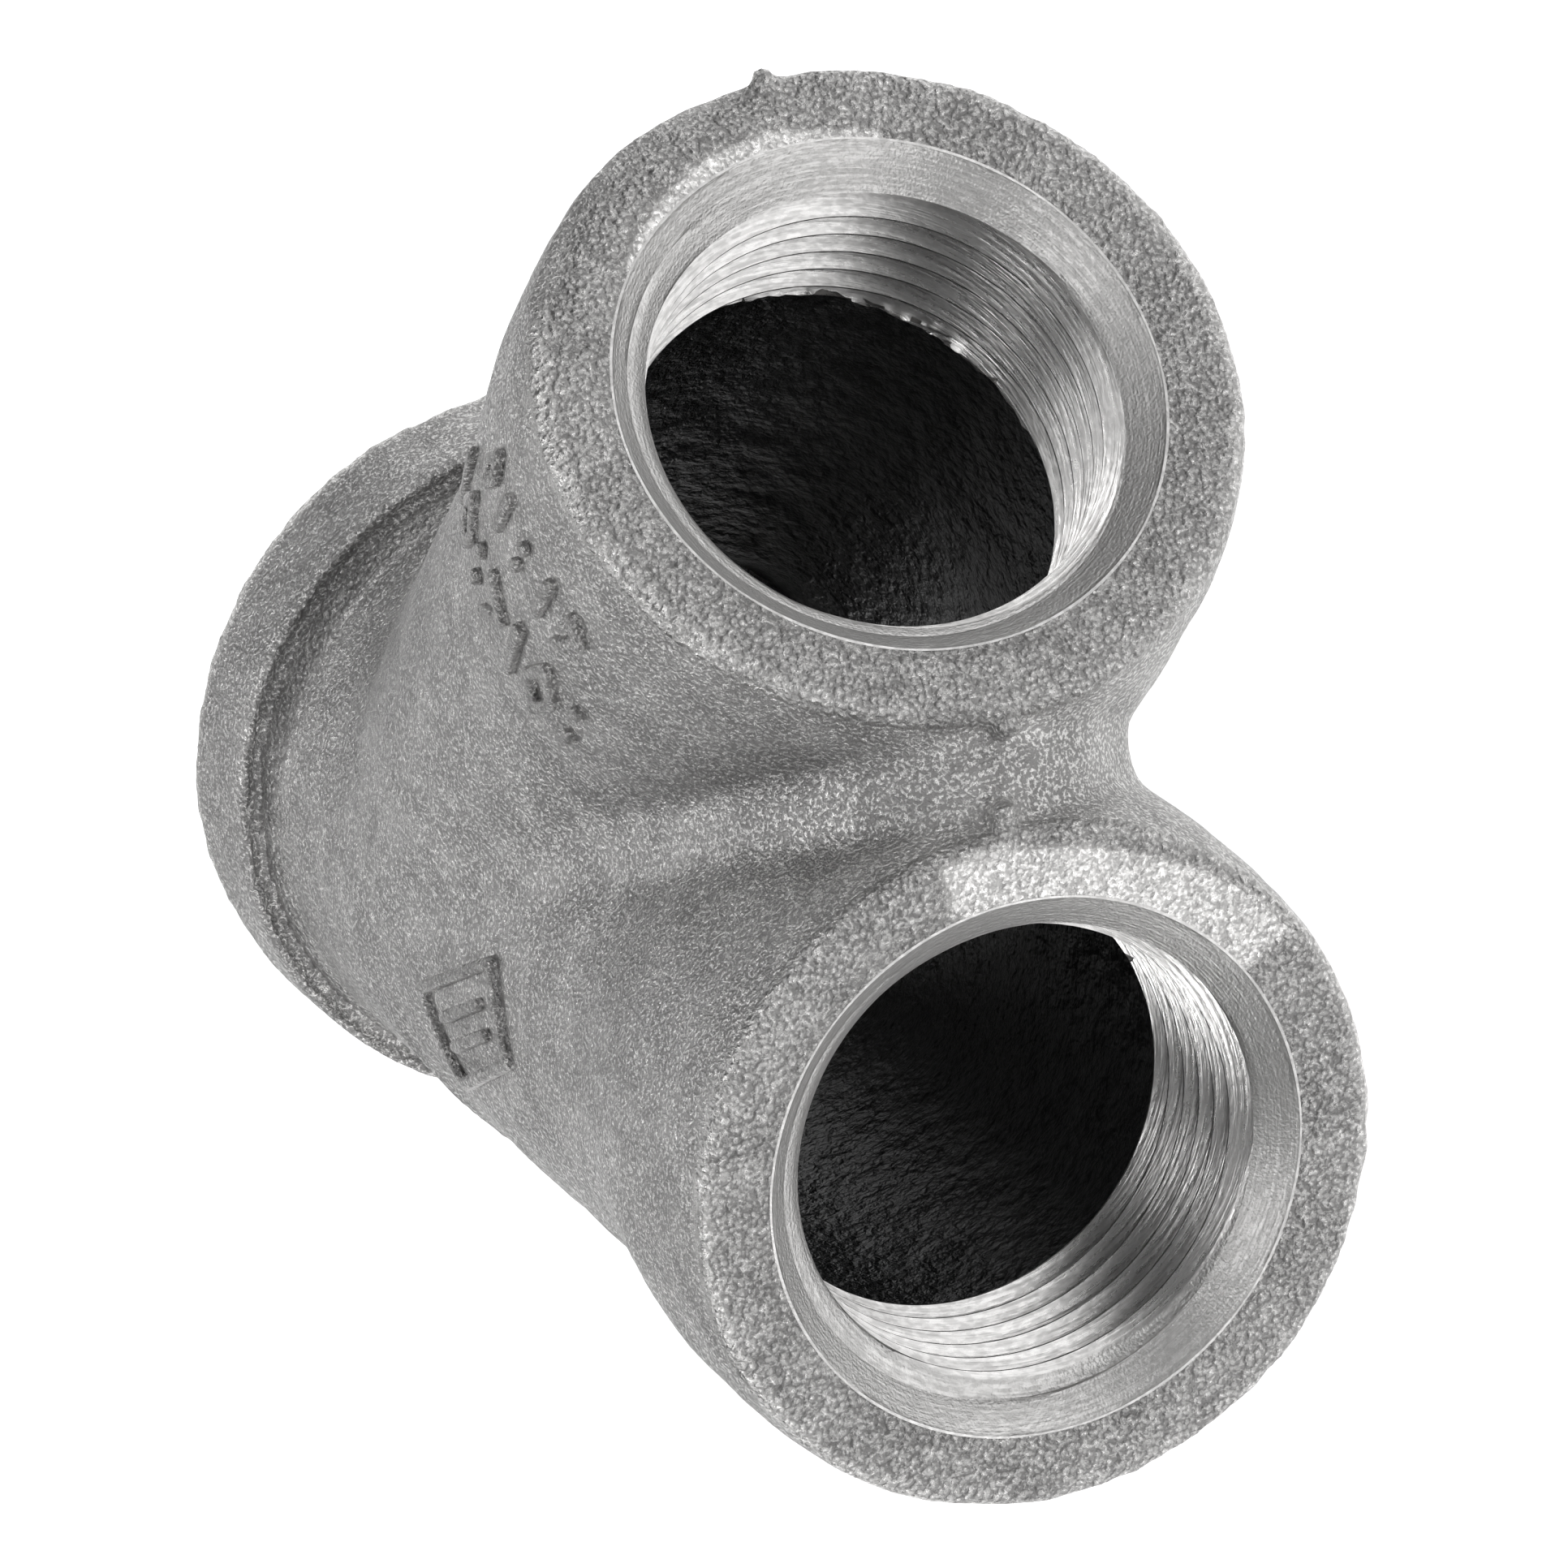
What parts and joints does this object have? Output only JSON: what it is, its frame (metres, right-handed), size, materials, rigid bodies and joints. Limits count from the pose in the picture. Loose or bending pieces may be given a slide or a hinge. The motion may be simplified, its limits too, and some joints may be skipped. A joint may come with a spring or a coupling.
{
  "type": "pipe lateral fitting",
  "caption": "Malleable iron 45 degree lateral (Y-branch): a straight run with a branch at 45 degrees, female pipe threads and thickened bands at every mouth.",
  "frame": {"origin": "on the inlet's axis at the foot of its countersink, where the inlet thread starts, 2.45 mm inside the inlet face", "axes": "+X along the run from the inlet to the run outlet; the branch leaves toward +X and +Y at 45 degrees; +Z normal to the plane of the centrelines, up as the fitting lies on a table"},
  "size_m": [0.0714, 0.0677, 0.0375],
  "materials": {
    "cast_iron": "rough as-cast sand texture",
    "machined_iron": "bright turned thread with circular tool marks"
  },
  "bodies": {
    "root": {"run_barrel": "cast_iron", "branch_barrel": "cast_iron", "inlet_band": "cast_iron", "run_outlet_band": "cast_iron", "branch_outlet_band": "cast_iron", "inlet_thread": "machined_iron", "run_outlet_thread": "machined_iron", "branch_outlet_thread": "machined_iron", "crotch_web": "cast_iron", "maker_pad": "cast_iron", "cast_marks": "cast_iron"}
  },
  "joints": []
}
